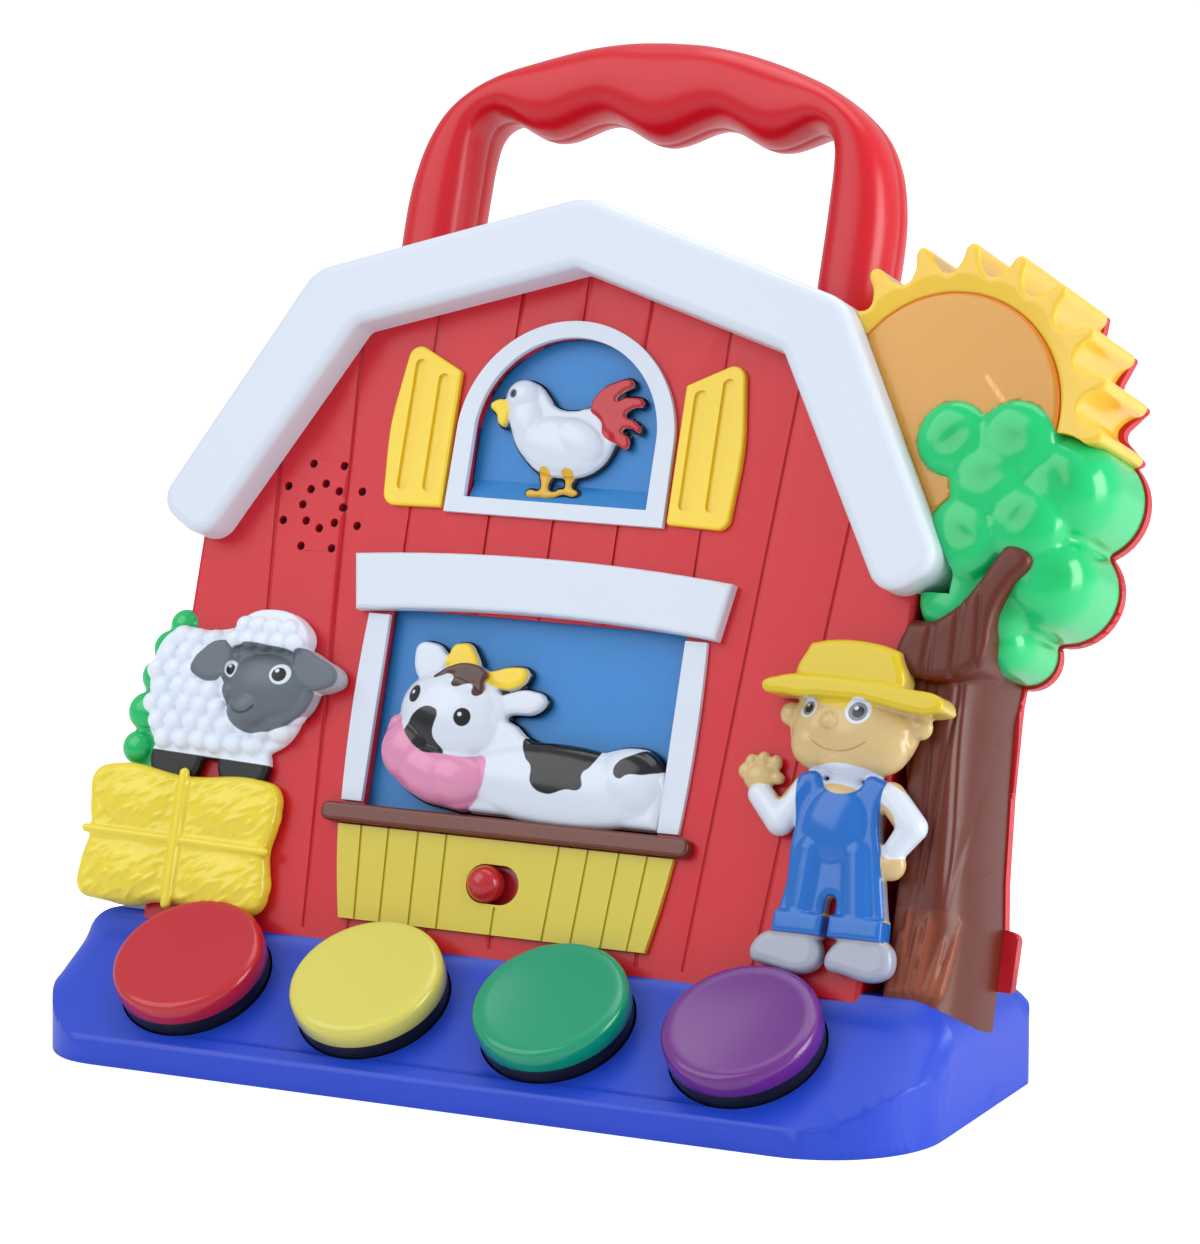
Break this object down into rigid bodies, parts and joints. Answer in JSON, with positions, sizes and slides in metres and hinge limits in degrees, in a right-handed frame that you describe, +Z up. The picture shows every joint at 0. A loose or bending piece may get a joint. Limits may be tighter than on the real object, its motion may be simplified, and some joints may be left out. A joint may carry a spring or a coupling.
{
  "type": "toy barn with sound buttons",
  "caption": "Leaning toy barn front on a deep base with big round buttons, a slide switch, moulded farm figures, a sun and tree at one side and a carry handle.",
  "frame": {"origin": "on the floor, under the line where the barn wall meets the base, midway along the base's length", "axes": "X along the base to the right as a child sees it, Y towards the back, Z up"},
  "size_m": [0.2482, 0.1466, 0.233],
  "materials": {
    "base_blue": "satin moulded blue plastic",
    "barn_red": "glossy moulded red plastic",
    "white_plastic": "satin moulded white plastic",
    "yellow_plastic": "glossy moulded yellow plastic",
    "window_blue": "smooth blue plastic",
    "cap_red": "glossy red plastic",
    "cap_yellow": "glossy yellow plastic",
    "cap_green": "glossy green plastic",
    "cap_purple": "glossy purple plastic",
    "black_plastic": "black plastic",
    "hen_paint": "white figure with red tail and yellow beak and feet",
    "cow_paint": "white figure with black patches and pink muzzle",
    "sheep_paint": "white fleece with grey face and black feet",
    "farmer_paint": "blue overalls, yellow hat, plain doll face",
    "hay_yellow": "textured yellow plastic",
    "leaf_green": "glossy green plastic",
    "bark_brown": "glossy brown plastic with moulded bark",
    "sill_brown": "brown plastic",
    "sun_yellow": "translucent yellow plastic",
    "sun_orange": "translucent orange plastic",
    "rubber": "soft rubber",
    "circuit_green": "circuit board",
    "chip_black": "moulded components",
    "steel": "plated steel",
    "cell_case": "plain cell jacket",
    "speaker_metal": "speaker basket and magnet",
    "lamp_clear": "clear lamp body"
  },
  "bodies": {
    "barn": {"base_shell": "base_blue", "base_plate": "base_blue", "rubber_feet": "rubber", "front_housing": "barn_red", "rear_housing": "barn_red", "roof_trim": "white_plastic", "arch_frame": "white_plastic", "arch_back": "window_blue", "window_back": "window_blue", "left_shutter": "yellow_plastic", "right_shutter": "yellow_plastic", "window_lintel": "white_plastic", "window_posts": "white_plastic", "window_sill": "sill_brown", "plank_panel": "yellow_plastic", "hen": "hen_paint", "cow": "cow_paint", "sheep": "sheep_paint", "bush": "leaf_green", "hay_bale": "hay_yellow", "farmer": "farmer_paint", "tree_crown": "leaf_green", "tree_trunk": "bark_brown", "sun_rays": "sun_yellow", "sun_disc": "sun_orange", "button_board": "circuit_green", "button_domes": "rubber", "slide_switch": "chip_black", "speaker": "speaker_metal", "main_board": "circuit_green", "board_chips": "chip_black", "sun_lamp": "lamp_clear", "tree_lamp": "lamp_clear", "batteries": "cell_case", "battery_contacts": "steel", "housing_screws": "steel", "plate_screws": "steel", "barn_screws": "steel"},
    "battery_door": {"battery_door": "barn_red", "door_screw": "steel"},
    "switch_knob": {"switch_knob": "cap_red"},
    "red_button": {"red_cap": "cap_red", "red_collar": "black_plastic"},
    "yellow_button": {"yellow_cap": "cap_yellow", "yellow_collar": "black_plastic"},
    "green_button": {"green_cap": "cap_green", "green_collar": "black_plastic"},
    "purple_button": {"purple_cap": "cap_purple", "purple_collar": "black_plastic"}
  },
  "joints": [
    {"name": "red_press", "type": "slide", "parent": "barn", "child": "red_button", "axis": [0, 0.5284, -0.849], "range_m": [0, 0.002], "stiffness_N_per_m": 700},
    {"name": "yellow_press", "type": "slide", "parent": "barn", "child": "yellow_button", "axis": [0, 0.5284, -0.849], "range_m": [0, 0.002], "stiffness_N_per_m": 700},
    {"name": "green_press", "type": "slide", "parent": "barn", "child": "green_button", "axis": [0, 0.5284, -0.849], "range_m": [0, 0.002], "stiffness_N_per_m": 700},
    {"name": "purple_press", "type": "slide", "parent": "barn", "child": "purple_button", "axis": [0, 0.5284, -0.849], "range_m": [0, 0.002], "stiffness_N_per_m": 700},
    {"name": "switch_slide", "type": "slide", "parent": "barn", "child": "switch_knob", "axis": [1, 0, 0], "range_m": [0, 0.004]},
    {"name": "door_lift", "type": "slide", "parent": "barn", "child": "battery_door", "axis": [0, 0.9412, -0.3378], "range_m": [0, 0.03]}
  ]
}
